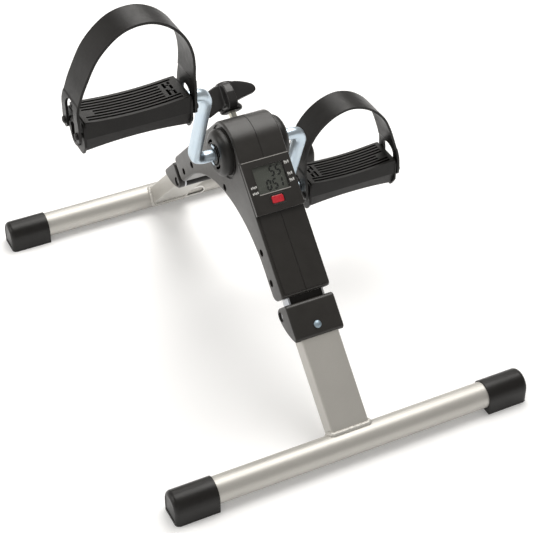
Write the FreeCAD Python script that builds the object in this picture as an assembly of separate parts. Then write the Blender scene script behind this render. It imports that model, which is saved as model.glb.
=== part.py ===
import FreeCAD, Part
import math
import os

# Folding pedal exerciser, in millimetres.
# +Z is up, +X is the user's right hand when facing the display, and -Y is the
# display side. The origin is on the floor, under the crank axis.

V = FreeCAD.Vector
K = math.sqrt(0.5)

# ---------------------------------------------------------------- dimensions
# crossbars and feet
crossbar_d = 28.0
crossbar_wall = 1.5
crossbar_z = 15.2
crossbar_y = 236.9
crossbar_half = 190.0
cap_outer = 198.8
cap_length = 46.5
cap_width = 31.0
cap_height = 36.0

# uprights: 40 x 20 rectangular tube at 45 degrees
upright_w = 42.0
upright_d = 20.0
upright_wall = 1.5
upright_n0 = 165.8          # inner face, distance from the origin along the arm's normal
upright_top_s = -27.0
bar_n = (crossbar_z + crossbar_y) * K
bar_s = (crossbar_z - crossbar_y) * K

# leg hinge
pivot_n = 167.5
pivot_s = -17.0
pin_r = 3.5
barrel_r = 7.5
knuckle_r = 8.0
knuckle_half = 27.0
knuckle_n1 = 188.2
knuckle_top_s = -8.2
knuckle_low_s = -46.6
cavity_half = 20.3

# crank
axis_z = 227.0
rod_r = 6.35
crank_plane = 61.5
crank_bend = 13.0
crank_throw = 110.0
crank_angle = math.radians(21.0)
bush_r = 10.0

# housing
body_half = 27.0
wall = 2.5
face_n = 188.7              # lower front face of the front arm
top_n = 192.0               # faces tangent to the drum
drum_r = top_n - axis_z * K
arm_back_n = 162.3
front_low_s = -1.3
rear_low_s = -0.8
crown_z = 175.0

# console
panel_s0, panel_s1 = 84.5, 139.7
panel_n = 193.0
lcd_half, lcd_s0, lcd_s1 = 16.3, 104.8, 131.8
btn_half, btn_s0, btn_s1 = 6.4, 92.4, 100.0

# pedals
pedal_x_left = 139.0
pedal_x_right = 137.0
pedal_len = 104.0
pedal_half = 20.3
pedal_top = 14.8
pedal_bottom = -19.5
pedal_bevel = -3.2
plate_t = 2.4
strap_t = 2.6
strap_half = 18.0

# tension knob
knob_offset = 14.0          # how far the screw passes behind the crank axis
brake_drum_r = 18.0
screw_r = 4.1

axle_y = crank_throw * math.sin(crank_angle)
axle_dz = crank_throw * math.cos(crank_angle)

os.makedirs("parts", exist_ok=True)
made = {}


def save(shape, name):
    """Write one sub-part. A compound of separate solids is one node."""
    solids = shape.Solids
    shape = solids[0] if len(solids) == 1 else Part.makeCompound(solids)
    assert shape.isValid(), name
    made[name] = shape
    shape.exportStep("parts/%s.step" % name)
    bb = shape.BoundBox
    print("%-28s solids %2d  vol %9.1f  x %.1f %.1f  y %.1f %.1f  z %.1f %.1f" % (
        name, len(solids), shape.Volume, bb.XMin, bb.XMax, bb.YMin, bb.YMax, bb.ZMin, bb.ZMax))


def front(n, s, x=0.0):
    """A point of the front arm's side view: n across the arm, s along it."""
    return V(x, (s - n) * K, (s + n) * K)


def rear(n, s, x=0.0):
    return V(x, (n - s) * K, (s + n) * K)


def flat(y, z, x=0.0):
    return V(x, y, z)


def corner_wire(pts, radii, place, x=0.0):
    """Closed wire through 2-D points, with rounded corners."""
    n = len(pts)
    edges = []
    ends = []
    for i in range(n):
        p = pts[i]
        a = pts[i - 1]
        b = pts[(i + 1) % n]
        r = radii[i]
        if not r:
            ends.append((p, None, p))
            continue
        ua = (a[0] - p[0], a[1] - p[1])
        ub = (b[0] - p[0], b[1] - p[1])
        la, lb = math.hypot(*ua), math.hypot(*ub)
        ua = (ua[0] / la, ua[1] / la)
        ub = (ub[0] / lb, ub[1] / lb)
        half = math.acos(max(-1, min(1, ua[0] * ub[0] + ua[1] * ub[1]))) / 2
        t = r / math.tan(half)
        bis = (ua[0] + ub[0], ua[1] + ub[1])
        lbis = math.hypot(*bis)
        c = (p[0] + bis[0] / lbis * r / math.sin(half), p[1] + bis[1] / lbis * r / math.sin(half))
        m = (c[0] - bis[0] / lbis * r, c[1] - bis[1] / lbis * r)
        ends.append(((p[0] + ua[0] * t, p[1] + ua[1] * t), m, (p[0] + ub[0] * t, p[1] + ub[1] * t)))
    for i in range(n):
        p0, m, p1 = ends[i]
        if m is not None:
            edges.append(Part.Arc(place(p0[0], p0[1], x), place(m[0], m[1], x), place(p1[0], p1[1], x)).toShape())
        q = ends[(i + 1) % n][0]
        if math.hypot(q[0] - p1[0], q[1] - p1[1]) > 1e-6:
            edges.append(Part.LineSegment(place(p1[0], p1[1], x), place(q[0], q[1], x)).toShape())
    return Part.Wire(edges)


def prism(pts, x0, x1, place=flat, radii=None):
    w = corner_wire(pts, radii or [0] * len(pts), place, x0)
    return Part.Face(w).extrude(V(x1 - x0, 0, 0))


def slab(n0, n1, s0, s1, x0, x1, place=front):
    """Box aligned with an arm."""
    return prism([(n0, s0), (n1, s0), (n1, s1), (n0, s1)], x0, x1, place)


def cyl_x(r, x0, x1, y, z):
    return Part.makeCylinder(r, x1 - x0, V(x0, y, z), V(1, 0, 0))


def cyl_n(r, n0, n1, x, s, place=front):
    """Cylinder square to an arm's face."""
    a, b = place(n0, s, x), place(n1, s, x)
    return Part.makeCylinder(r, (b - a).Length, a, b - a)


def revolve_x(profile, y, z, sign=1):
    """Revolve (x, r) points about a line along X through (y, z)."""
    pts = [V(sign * x, y, z + r) for x, r in profile]
    face = Part.Face(Part.makePolygon(pts + [pts[0]]))
    return face.revolve(V(0, y, z), V(1, 0, 0), 360)


def fused(parts):
    s = parts[0]
    for p in parts[1:]:
        s = s.fuse(p)
    return s.removeSplitter()


def cut(shape, tools):
    for t in tools:
        shape = shape.cut(t)
    return shape


def mirror_y(shape):
    return shape.mirror(V(0, 0, 0), V(0, 1, 0))


def mirror_x(shape):
    return shape.mirror(V(0, 0, 0), V(1, 0, 0))


def soften(shape, pick, r):
    """Round the picked edges, as many as the kernel can do."""
    edges = [e for e in shape.Edges if pick(e)]
    try:
        out = shape.makeFillet(r, edges)
        if out.isValid() and out.Solids:
            return out
    except Exception:
        pass
    for e in edges:
        c = e.CenterOfMass
        near = [q for q in shape.Edges if q.CenterOfMass.distanceToPoint(c) < 0.05]
        if not near:
            continue
        try:
            out = shape.makeFillet(r, near[:1])
            if out.isValid() and out.Solids:
                shape = out
        except Exception:
            pass
    return shape


# ------------------------------------------------------------------- housing
def body_profile(w, x):
    """Side view of the arched housing, shrunk by w on every side."""
    fn, tn, bn = face_n - w, top_n - w, arm_back_n + w
    fs, rs = front_low_s + w, rear_low_s + w
    r = drum_r - w
    # arch circle: tangent to both arms' inner faces, crown at crown_z
    big = (arm_back_n / K - crown_z) / (math.sqrt(2) - 1)
    cz = crown_z - big
    rb = big + w
    yt, zt = rb * K, cz + rb * K
    ro = max(5.0 - w, 1.5)
    ri = 8.0 - w
    e = []

    def P(n, s):
        return front(n, s, x)

    def Q(n, s):
        return rear(n, s, x)

    def rounded(pl, n, s, dn, ds, rad):
        # corner at (n, s); dn and ds say which way the two sides leave it
        a = pl(n, s + ds * rad)
        b = pl(n + dn * rad, s)
        m = pl(n + dn * rad * (1 - K), s + ds * rad * (1 - K))
        return a, m, b

    # rear arm, outer low corner
    ra = rounded(Q, tn, rs, -1, 1, ro + 1)
    rb_ = rounded(Q, bn, rs, 1, 1, ri)
    fa = rounded(P, fn, fs, -1, 1, ro)
    fb = rounded(P, bn, fs, 1, 1, ri)
    L = lambda a, b: e.append(Part.LineSegment(a, b).toShape())
    A = lambda a, m, b: e.append(Part.Arc(a, m, b).toShape())
    top_f = P(tn, axis_z * K)
    top_r = Q(tn, axis_z * K)
    step = panel_s1 + w
    # start at the top, go down the front, under the arch and up the rear
    A(top_r, V(x, 0, axis_z + r), top_f)
    L(top_f, P(tn, step))
    L(P(tn, step), P(fn, step))
    L(P(fn, step), fa[0])
    A(fa[0], fa[1], fa[2])
    L(fa[2], fb[2])
    A(fb[2], fb[1], fb[0])
    ft = V(x, -yt, zt)
    rt = V(x, yt, zt)
    L(fb[0], ft)
    A(ft, V(x, 0, cz + rb), rt)
    L(rt, rb_[0])
    A(rb_[0], rb_[1], rb_[2])
    L(rb_[2], ra[2])
    A(ra[2], ra[1], ra[0])
    L(ra[0], top_r)
    return Part.Face(Part.Wire(e))


outer = body_profile(0, -body_half).extrude(V(2 * body_half, 0, 0))
outer = soften(outer, lambda e: abs(abs(e.CenterOfMass.x) - body_half) < 0.01, 2.4)
inner = body_profile(wall, -(body_half - wall)).extrude(V(2 * (body_half - wall), 0, 0))
screw_at = [(-108.5, 134.0), (-86.0, 157.0), (0.0, 182.5), (86.0, 157.0), (108.5, 134.0)]
shell = outer.cut(inner)
# bearing seats for the crank bushes
for sx in (-1, 1):
    seat = cyl_x(13.0, 14.0, body_half - 1.0, 0, axis_z) if sx > 0 else cyl_x(13.0, -(body_half - 1.0), -14.0, 0, axis_z)
    shell = shell.fuse(seat)
# screw bosses that run across the housing
for y, z in screw_at:
    shell = shell.fuse(cyl_x(5.4, -(body_half - 1), body_half - 1, y, z).common(outer))
shell = shell.cut(cyl_x(bush_r, -40, 40, 0, axis_z))
for y, z in screw_at:
    shell = shell.cut(cyl_x(3.9, -40, -14.0, y, z))      # screw head well
    shell = shell.cut(cyl_x(1.55, -15.0, 16.0, y, z))    # screw shank
# annular groove round each bearing cover
for sx in (-1, 1):
    a, b = sorted((sx * (body_half - 1.5), sx * (body_half + 5)))
    ring = cyl_x(28.6, a, b, 0, axis_z).cut(cyl_x(25.6, a, b, 0, axis_z))
    shell = shell.cut(ring)
# mouths for the hinge brackets
shell = shell.cut(slab(167.0, 183.2, -2, 6.5, -20.3, 20.3))
shell = shell.cut(slab(167.0, 183.2, -2, 6.5, -20.3, 20.3, rear))
# pocket for the meter under the console
shell = shell.cut(slab(face_n - 6, face_n + 3, 88.0, 136.5, -22.5, 22.5))
# hole for the tension screw
shell = shell.cut(cyl_n(screw_r + 0.5, 150, 200, 0, axis_z * K - knob_offset, rear))
# the lower front panel stands a little proud of a border round it
pad = slab(face_n - 3, face_n + 5, front_low_s + 3.4, panel_s0 + 4, -23.4, 23.4)
pad = soften(pad, lambda e: len(e.Vertexes) == 2 and abs(((e.Vertexes[0].Point + e.Vertexes[1].Point) * 0.5).z * K + ((e.Vertexes[0].Point + e.Vertexes[1].Point) * 0.5).y * K - (front_low_s + 3.4)) < 0.01
             and abs(((e.Vertexes[0].Point - e.Vertexes[1].Point).normalize()).dot(front(1, 0) - front(0, 0))) > 0.99, 3.0)
border = slab(face_n - 0.8, face_n + 4, front_low_s - 3, panel_s0 - 0.01, -40, 40)
shell = shell.cut(border.cut(pad))
# parting groove where the two shells meet
rim = body_profile(0, -0.3).extrude(V(0.6, 0, 0)).cut(body_profile(0.7, -1.0).extrude(V(2.0, 0, 0)))
shell = shell.cut(rim)
big_l = Part.makeBox(60, 600, 600, V(-60, -300, 0))
big_r = Part.makeBox(60, 600, 600, V(0, -300, 0))
left_shell = shell.common(big_l)
right_shell = shell.common(big_r)
save(left_shell, "housing_shell_left")
save(right_shell, "housing_shell_right")

screws = []
for y, z in screw_at:
    head = cyl_x(3.6, -16.0, -14.0, y, z)
    shank = cyl_x(1.5, -14.0, 14.0, y, z)
    slotx = Part.makeBox(1.2, 0.7, 4.0, V(-16.1, y - 0.35, z - 2.0))
    sloty = Part.makeBox(1.2, 4.0, 0.7, V(-16.1, y - 2.0, z - 0.35))
    screws.append(head.fuse(shank).cut(slotx).cut(sloty))
save(Part.makeCompound(screws), "housing_screws")

# bearing covers: domed discs with arc slots round the spindle
def bearing_cover(sx):
    prof = [(body_half, bush_r), (body_half, 24.8), (30.5, 24.8)]
    for i in range(1, 13):
        t = math.radians(90.0 * i / 12)
        prof.append((30.5 + 7.5 * math.sin(t), 24.8 - 7.6 * (1 - math.cos(t))))
    prof += [(38.0, 11.6), (36.6, 11.2), (36.6, bush_r)]
    c = revolve_x(prof, 0, axis_z, sx)
    for a0 in (20, 110, 200, 290):
        pts = []
        for rr, rng in ((15.8, range(0, 51, 10)), (12.9, range(50, -1, -10))):
            for d in rng:
                t = math.radians(a0 + d)
                pts.append(V(sx * 39.5, rr * math.cos(t), axis_z + rr * math.sin(t)))
        f = Part.Face(Part.makePolygon(pts + [pts[0]]))
        c = c.cut(f.extrude(V(-sx * 5.5, 0, 0)))
    return c


save(bearing_cover(-1), "bearing_cover_left")
save(bearing_cover(1), "bearing_cover_right")


def bush(sx):
    a, b = sorted((sx * 13.0, sx * 39.0))
    return cyl_x(bush_r, a, b, 0, axis_z).cut(cyl_x(rod_r + 0.05, a - 1, b + 1, 0, axis_z))


save(bush(-1), "crank_bush_left")
save(bush(1), "crank_bush_right")

# ------------------------------------------------------------------- console
bezel = slab(face_n, panel_n, panel_s0, panel_s1, -26.6, 26.6)
bezel = soften(bezel, lambda e: abs((e.CenterOfMass.z - e.CenterOfMass.y) * K - panel_n) < 0.01, 0.9)
bezel = bezel.cut(slab(face_n - 1, panel_n + 1, lcd_s0 - 0.6, lcd_s1 + 0.6, -lcd_half - 0.6, lcd_half + 0.6))
bezel = bezel.cut(slab(face_n - 1, panel_n + 1, btn_s0 - 0.15, btn_s1 + 0.15, -btn_half - 0.15, btn_half + 0.15))
save(bezel, "console_bezel")
window = slab(191.4, 192.4, lcd_s0 - 0.6, lcd_s1 + 0.6, -lcd_half - 0.6, lcd_half + 0.6)
save(window, "display_window")
lcd = slab(187.2, 190.6, lcd_s0 - 1.5, lcd_s1 + 1.5, -lcd_half - 1.5, lcd_half + 1.5)
lcd = lcd.cut(slab(face_n, 195, 80, 150, -40, -lcd_half - 0.6)).cut(slab(face_n, 195, 80, 150, lcd_half + 0.6, 40))
lcd = lcd.cut(slab(face_n, 195, 80, lcd_s0 - 0.6, -40, 40)).cut(slab(face_n, 195, lcd_s1 + 0.6, 150, -40, 40))
save(lcd, "display_module")
board = slab(184.9, 186.5, 89.0, 135.5, -21.8, 21.8)
save(board, "meter_board")
switch = slab(186.5, 188.0, 94.2, 98.2, -2.0, 2.0).fuse(cyl_n(1.2, 188.0, 188.6, 0, 96.2))
save(switch.removeSplitter(), "meter_switch")
cell = cyl_x(5.25, -22.0, 22.0, front(177.6, 100.0).y, front(177.6, 100.0).z)
cell = cell.fuse(cyl_x(1.9, 22.0, 22.9, front(177.6, 100.0).y, front(177.6, 100.0).z))
save(cell.removeSplitter(), "battery_cell")
button = slab(187.9, 193.6, btn_s0, btn_s1, -btn_half, btn_half)
button = soften(button, lambda e: len(e.Vertexes) == 2 and abs((e.Vertexes[0].Point - e.Vertexes[1].Point).dot(front(1, 0) - front(0, 0))) > 5.0, 1.6)
button = soften(button, lambda e: abs((e.CenterOfMass.z - e.CenterOfMass.y) * K - 193.6) < 0.01, 0.7)
button = button.fuse(slab(187.7, 188.5, btn_s0 - 0.9, btn_s1 + 0.9, -btn_half - 0.9, btn_half + 0.9))
button = button.cut(slab(187.0, 189.8, 93.2, 99.2, -3.0, 3.0)).removeSplitter()
save(button, "reset_button")
# reed sensor that looks at the magnet on the brake drum
reed = cyl_n(2.2, 181.5, 186.0, 0, axis_z * K - 8.0, front)
save(reed, "speed_sensor")


# ---------------------------------------------------------------- crank set
def rod(path_pts, r):
    """Round bar along straight runs joined by tangent arcs, all in one plane."""
    edges = []
    for kind, pts in path_pts:
        if kind == "line":
            edges.append(Part.LineSegment(pts[0], pts[1]).toShape())
        else:
            edges.append(Part.Arc(pts[0], pts[1], pts[2]).toShape())
    wire = Part.Wire(edges)
    d = path_pts[0][1][1] - path_pts[0][1][0]
    prof = Part.Wire([Part.Circle(path_pts[0][1][0], d, r).toShape()])
    return wire.makePipeShell([prof], True, True)


def crank_rod(sx):
    """Spindle half, arm and pedal axle, bent from one bar. The left arm points up."""
    u = V(0, sx * math.sin(crank_angle), -sx * math.cos(crank_angle))
    a = V(sx, 0, 0)
    c = V(0, 0, axis_z)
    b = crank_bend
    p0 = c + a * 10.0
    p1 = c + a * (crank_plane - b)
    m1 = c + a * (crank_plane - b + b * K) + u * (b - b * K)
    p2 = c + a * crank_plane + u * b
    p3 = c + a * crank_plane + u * (crank_throw - b)
    m2 = c + a * (crank_plane + b - b * K) + u * (crank_throw - b + b * K)
    p4 = c + a * (crank_plane + b) + u * crank_throw
    p5 = c + a * ((pedal_x_left if sx < 0 else pedal_x_right) + pedal_len / 2 - 4.5) + u * crank_throw
    s = rod([("line", (p0, p1)), ("arc", (p1, m1, p2)), ("line", (p2, p3)), ("arc", (p3, m2, p4)), ("line", (p4, p5))], rod_r)
    return s.Solids[0] if s.Solids else Part.Solid(s)


save(crank_rod(-1), "crank_left")
save(crank_rod(1), "crank_right")
hub = cyl_x(brake_drum_r, -9.0, 9.0, 0, axis_z)
hub = hub.fuse(cyl_x(11.0, -12.0, 12.0, 0, axis_z))
hub = hub.cut(cyl_x(rod_r, -20, -10.0, 0, axis_z)).cut(cyl_x(rod_r, 10.0, 20, 0, axis_z))
hub = hub.cut(cyl_x(13.5, 6.0, 9.5, 0, axis_z).cut(cyl_x(11.0, 6.0, 9.5, 0, axis_z)))
magnet_hole = cyl_n(3.0, axis_z * K + brake_drum_r - 4.0, axis_z * K + brake_drum_r + 2, 0, axis_z * K - 3.0, front)
hub = hub.cut(magnet_hole)
save(hub.removeSplitter(), "brake_drum")
magnet = cyl_n(3.0, axis_z * K + brake_drum_r - 4.0, axis_z * K + brake_drum_r - 0.6, 0, axis_z * K - 3.0, front)
save(magnet, "drum_magnet")


# ------------------------------------------------------- resistance mechanism
ks = axis_z * K - knob_offset
shoe = slab(168.0, 184.5, ks - 9.5, ks + 9.5, -8.0, 8.0, rear)
shoe_gap = 1.8
liner_t = 2.0
shoe_body = shoe.cut(cyl_x(brake_drum_r + shoe_gap + liner_t, -20, 20, 0, axis_z))
liner = shoe.common(cyl_x(brake_drum_r + shoe_gap + liner_t, -7.5, 7.5, 0, axis_z)).cut(cyl_x(brake_drum_r + shoe_gap, -20, 20, 0, axis_z))
liner = liner.cut(slab(100, 170.5, 100, 200, -30, 30, rear))
shoe_body = shoe_body.cut(slab(100, 170.5, 100, 200, -30, 30, rear))
sb = sorted(shoe_body.Solids, key=lambda q: -q.Volume)[0]
lb = sorted(liner.Solids, key=lambda q: -q.Volume)[0]
sb = sb.cut(cyl_n(screw_r + 0.05, 180.0, 190.0, 0, ks, rear))
save(sb, "brake_shoe")
save(lb, "brake_liner")
nut = Part.makeCylinder(5.8, 3.2, rear(186.0, ks), rear(1, 0) - rear(0, 0))
nut = nut.cut(cyl_n(screw_r + 0.05, 180, 195, 0, ks, rear))
save(nut, "screw_nut")
screw = cyl_n(screw_r, 180.2, 207.0, 0, ks, rear)
save(screw, "tension_screw")


def knob_shape():
    """Wing knob: a hub with a collar, two broad wings and two short lobes."""
    k = cyl_n(10.5, 204.0, 231.0, 0, ks, rear).fuse(cyl_n(11.8, 200.2, 206.5, 0, ks, rear))
    right_wing = [(5.0, 230.5), (17.5, 228.2), (28.5, 223.2), (31.3, 220.4), (31.3, 216.6), (28.0, 213.8), (18.0, 212.2), (5.0, 209.5)]
    left_wing = [(-5.0, 230.0), (-17.5, 227.2), (-26.5, 221.5), (-29.3, 214.0), (-28.4, 203.5), (-26.0, 200.8), (-20.5, 201.6), (-12.0, 205.0), (-5.0, 207.0)]
    for pts in (right_wing, left_wing):
        ring = [rear(n, ks - 5.2, x) for x, n in pts]
        k = k.fuse(Part.Face(Part.makePolygon(ring + [ring[0]])).extrude((rear(0, 1) - rear(0, 0)) * 10.4))
    for sg in (-1, 1):
        s0, s1 = sorted((ks + sg * 5, ks + sg * 16.5))
        k = k.fuse(slab(203.0, 226.0, s0, s1, -5.0, 5.0, rear))
    return k.cut(cyl_n(screw_r, 190, 209.0, 0, ks, rear))


save(knob_shape(), "tension_knob")


# ---------------------------------------------------------------------- legs
def cap():
    """Push-on end cap: round over the tube, straight sides, flat foot."""
    r = cap_width / 2
    x0, x1 = cap_outer - cap_length, cap_outer
    z0, z1 = 0.0, crossbar_z
    y = -crossbar_y
    e = [Part.Arc(V(x0, y - r, z1), V(x0, y, z1 + r), V(x0, y + r, z1)).toShape(),
         Part.LineSegment(V(x0, y + r, z1), V(x0, y + r, z0)).toShape(),
         Part.LineSegment(V(x0, y + r, z0), V(x0, y - r, z0)).toShape(),
         Part.LineSegment(V(x0, y - r, z0), V(x0, y - r, z1)).toShape()]
    c = Part.Face(Part.Wire(e)).extrude(V(x1 - x0, 0, 0))
    c = soften(c, lambda q: abs(q.CenterOfMass.x - x1) < 0.01 and q.CenterOfMass.z > 0.5, 5.0)
    # shallow panel sunk into the end face
    ri = r - 4.2
    e = [Part.Arc(V(x1 - 0.6, y - ri, z1), V(x1 - 0.6, y, z1 + ri), V(x1 - 0.6, y + ri, z1)).toShape(),
         Part.LineSegment(V(x1 - 0.6, y + ri, z1), V(x1 - 0.6, y + ri, 3.0)).toShape(),
         Part.LineSegment(V(x1 - 0.6, y + ri, 3.0), V(x1 - 0.6, y - ri, 3.0)).toShape(),
         Part.LineSegment(V(x1 - 0.6, y - ri, 3.0), V(x1 - 0.6, y - ri, z1)).toShape()]
    c = c.cut(Part.Face(Part.Wire(e)).extrude(V(3.0, 0, 0)))
    c = c.cut(cyl_x(crossbar_d / 2, x0 - 1, crossbar_half, y, crossbar_z))
    return c


def knuckle():
    """Hinge block that sleeves the upright's upper end."""
    pts = []
    c = (pivot_n, pivot_s)
    # outline in (n, s): front face, top, bulge round the pivot, sloping underside
    low = (knuckle_n1, knuckle_low_s)
    # tangent from the low point to the bulge circle
    dx, dy = c[0] - (low[0] - 6.0), c[1] - low[1]
    e = []
    rc = 4.0
    top_front = [(knuckle_n1, knuckle_top_s - rc), (knuckle_n1 - rc * (1 - K), knuckle_top_s - rc * (1 - K)), (knuckle_n1 - rc, knuckle_top_s)]
    P = lambda q, x=-knuckle_half: front(q[0], q[1], x)
    e.append(Part.Arc(P(top_front[0]), P(top_front[1]), P(top_front[2])).toShape())
    t0 = (c[0], knuckle_top_s)
    e.append(Part.LineSegment(P(top_front[2]), P(t0)).toShape())
    a1 = math.radians(215)
    tb = (c[0] + knuckle_r * math.cos(a1), c[1] + knuckle_r * math.sin(a1))
    am = math.radians(152)
    tm = (c[0] + knuckle_r * math.cos(am), c[1] + knuckle_r * math.sin(am))
    e.append(Part.Arc(P(t0), P(tm), P(tb)).toShape())
    corner = (knuckle_n1 - 5.0, knuckle_low_s)
    mid = (168.2, -34.0)
    e.append(Part.Arc(P(tb), P(mid), P(corner)).toShape())
    e.append(Part.Arc(P(corner), P((knuckle_n1 - 1.3, knuckle_low_s + 1.3)), P((knuckle_n1, knuckle_low_s + 5.0))).toShape())
    e.append(Part.LineSegment(P((knuckle_n1, knuckle_low_s + 5.0)), P(top_front[0])).toShape())
    k = Part.Face(Part.Wire(e)).extrude(V(2 * knuckle_half, 0, 0))
    k = soften(k, lambda q: abs(abs(q.CenterOfMass.x) - knuckle_half) < 0.01, 1.6)
    # room for the housing's hinge bracket, open at the top and at the back
    k = k.cut(slab(140.0, 185.5, upright_top_s + 0.5, 0, -cavity_half, cavity_half))
    # socket for the upright
    k = k.cut(slab(upright_n0, upright_n0 + upright_d, -60, upright_top_s + 0.5, -upright_w / 2, upright_w / 2))
    k = k.cut(cyl_x(pin_r, -40, 40, front(*c).y, front(*c).z))
    for sx in (-1, 1):
        a, b = sorted((sx * (knuckle_half - 1.6), sx * (knuckle_half + 2)))
        k = k.cut(cyl_x(5.2, a, b, front(*c).y, front(*c).z))
    k = k.cut(cyl_n(4.0, 180, 200, 0, -35.0))
    return k


def tube_rect(n0, n1, s0, s1, half, t):
    o = prism([(n0, s0), (n1, s0), (n1, s1), (n0, s1)], -half, half, front)
    d = front(0, 1) - front(0, 0)
    o = soften(o, lambda q: len(q.Vertexes) == 2 and abs((q.Vertexes[0].Point - q.Vertexes[1].Point).normalize().dot(d)) > 0.99, 2.0)
    i = slab(n0 + t, n1 - t, s0 - 1, s1 + 1, -half + t, half - t)
    return o.cut(i)


def upright():
    n0, n1 = upright_n0, upright_n0 + upright_d
    u = tube_rect(n0, n1, bar_s, upright_top_s, upright_w / 2, upright_wall)
    u = u.cut(cyl_x(crossbar_d / 2, -100, 100, -crossbar_y, crossbar_z))
    u = u.cut(slab(n0 - 1, n1 + 1, bar_s - 5, bar_s + 0.01, -40, 40))
    u = u.cut(cyl_n(4.0, 178, 200, 0, -35.0))
    return sorted(u.Solids, key=lambda q: -q.Volume)[0]


def weld():
    n0, n1 = upright_n0, upright_n0 + upright_d
    g = 2.4
    o = slab(n0 - g, n1 + g, bar_s + 2, bar_s + 30, -upright_w / 2 - g, upright_w / 2 + g)
    i = slab(n0, n1, bar_s - 5, bar_s + 40, -upright_w / 2, upright_w / 2)
    ring = cyl_x(crossbar_d / 2 + g, -100, 100, -crossbar_y, crossbar_z).cut(cyl_x(crossbar_d / 2, -100, 100, -crossbar_y, crossbar_z))
    w = o.cut(i).common(ring)
    return sorted(w.Solids, key=lambda q: -q.Volume)[0]


def hinge_bracket():
    """Steel U bracket: two cheeks with ears round the pin, joined inside the arm."""
    c = (pivot_n, pivot_s)
    parts = []
    for sx in (-1, 1):
        a, b = sorted((sx * 18.0, sx * 20.0))
        ear = prism([(161.5, -17.0), (176.0, -23.0), (181.5, -18.0), (182.5, -9.0), (182.5, 42.0), (168.5, 42.0), (168.5, 6.0), (165.5, -9.0)], a, b, front)
        ear = ear.fuse(cyl_x(barrel_r, a, b, front(*c).y, front(*c).z))
        parts.append(ear)
    parts.append(slab(168.5, 170.5, 9.0, 42.0, -20.0, 20.0))
    b = fused(parts)
    b = b.cut(cyl_x(5.7, -40, 40, *screw_at[0]))
    return b.cut(cyl_x(pin_r + 0.05, -40, 40, front(*c).y, front(*c).z))


def hinge_core():
    """Moulded spacer between the cheeks, with the hinge barrel."""
    c = (pivot_n, pivot_s)
    core = prism([(163.5, -14.0), (172.0, -22.0), (178.0, -18.0), (180.5, -9.0), (180.5, 38.0), (171.0, 38.0), (171.0, 6.0), (166.5, -9.0)], -17.9, 17.9, front)
    core = core.fuse(cyl_x(barrel_r, -17.9, 17.9, front(*c).y, front(*c).z)).removeSplitter()
    core = core.cut(cyl_x(5.7, -40, 40, *screw_at[0]))
    return core.cut(cyl_x(pin_r + 0.05, -40, 40, front(*c).y, front(*c).z))


def hinge_pin():
    c = front(pivot_n, pivot_s)
    return cyl_x(pin_r, -(knuckle_half - 1.8), knuckle_half - 1.8, c.y, c.z)


def snap_button():
    """Plunger with a shoulder inside the tube and a low domed head."""
    axis = front(1, 0) - front(0, 0)
    base = front(0, -35.0)
    r, rise = 3.9, 1.8
    prof = [(180.5, 0.0), (180.5, 6.0), (183.9, 6.0), (183.9, r), (189.2, r)]
    pts = [base + axis * h + V(q, 0, 0) for h, q in prof]
    big = (r * r + rise * rise) / (2 * rise)
    centre = 189.2 + rise - big
    t = math.asin(r / big) / 2
    mid = base + axis * (centre + big * math.cos(t)) + V(big * math.sin(t), 0, 0)
    tip = base + axis * (189.2 + rise)
    edges = [Part.LineSegment(pts[i], pts[i + 1]).toShape() for i in range(len(pts) - 1)]
    edges.append(Part.Arc(pts[-1], mid, tip).toShape())
    edges.append(Part.LineSegment(tip, pts[0]).toShape())
    face = Part.Face(Part.Wire(edges))
    return face.revolve(base, axis, 360)


def snap_spring():
    """V leaf spring inside the upright, riveted to the snap button."""
    t = 0.8
    s0, s1 = -42.0, -86.0
    a = prism([(180.5 - t, s0), (180.5, s0), (180.5, s1 + 6), (180.5 - t, s1 + 6)], -6.0, 6.0, front)
    b = prism([(171.2, s0), (171.2 + t, s0), (171.2 + t, s1 + 6), (171.2, s1 + 6)], -6.0, 6.0, front)
    cn = (180.5 + 171.2) / 2
    r = (180.5 - 171.2) / 2
    cc = front(cn, s1 + 6)
    bend = cyl_x(r, -6, 6, cc.y, cc.z).cut(cyl_x(r - t, -7, 7, cc.y, cc.z))
    bend = bend.common(slab(cn - 20, cn + 20, s1 - 20, s1 + 6, -10, 10))
    top = slab(180.5 - t, 180.5, -42.0, -28.5, -6.0, 6.0)
    return fused([a, b, bend, top])


front_leg = {
    "front_crossbar": cyl_x(crossbar_d / 2, -crossbar_half, crossbar_half, -crossbar_y, crossbar_z).cut(
        cyl_x(crossbar_d / 2 - crossbar_wall, -crossbar_half - 1, crossbar_half + 1, -crossbar_y, crossbar_z)),
    "front_upright": upright(),
    "front_weld": weld(),
    "front_end_caps": Part.makeCompound([cap(), mirror_x(cap())]),
    "front_knuckle": knuckle(),
    "front_hinge_bracket": hinge_bracket(),
    "front_hinge_core": hinge_core(),
    "front_hinge_pin": hinge_pin(),
    "front_snap_button": snap_button(),
    "front_snap_spring": snap_spring(),
}
for name, shape in front_leg.items():
    save(shape, name)
for name, shape in front_leg.items():
    m = mirror_y(shape)
    if name == "front_crossbar":
        # elongated drain hole in the rear tube's front side
        c0 = V(33.0, crossbar_y, crossbar_z)
        d = V(0, -math.cos(math.radians(8)), -math.sin(math.radians(8)))
        bar = Part.makeCylinder(4.5, 20, c0 - V(8, 0, 0), d).fuse(Part.makeCylinder(4.5, 20, c0 + V(8, 0, 0), d))
        box = Part.makeBox(16, 20, 9, V(-8, 0, -4.5))
        box.rotate(V(0, 0, 0), V(1, 0, 0), 188)
        box.translate(c0)
        m = m.cut(bar).cut(box)
    save(m, name.replace("front", "rear"))


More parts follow.
